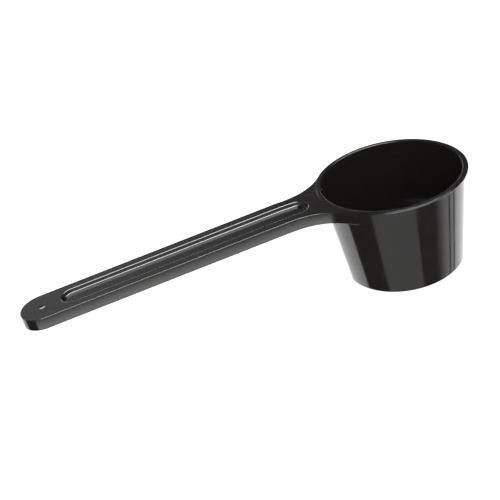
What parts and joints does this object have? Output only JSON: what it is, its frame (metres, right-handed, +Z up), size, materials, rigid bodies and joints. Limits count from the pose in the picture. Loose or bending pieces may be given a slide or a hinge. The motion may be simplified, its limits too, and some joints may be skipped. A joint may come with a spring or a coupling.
{
  "type": "measuring scoop",
  "caption": "Glossy black moulded measuring scoop: a tapered round cup with a thin lip and a long flat grooved handle with a round tip.",
  "frame": {"origin": "centre of the underside of the cup's flat base, on the cup's axis", "axes": "+Z up along the cup's axis, out of its mouth; the handle runs from the rim towards -X; the object is mirror symmetric across the plane Y = 0"},
  "size_m": [0.1337, 0.0442, 0.0293],
  "materials": {
    "black_plastic": "glossy black moulded plastic with a polished skin, faint flow waviness and light handling wear"
  },
  "bodies": {
    "root": {"cup_floor": "black_plastic", "cup_wall": "black_plastic", "rim_lip": "black_plastic", "handle_neck": "black_plastic", "handle_grip": "black_plastic"}
  },
  "joints": []
}
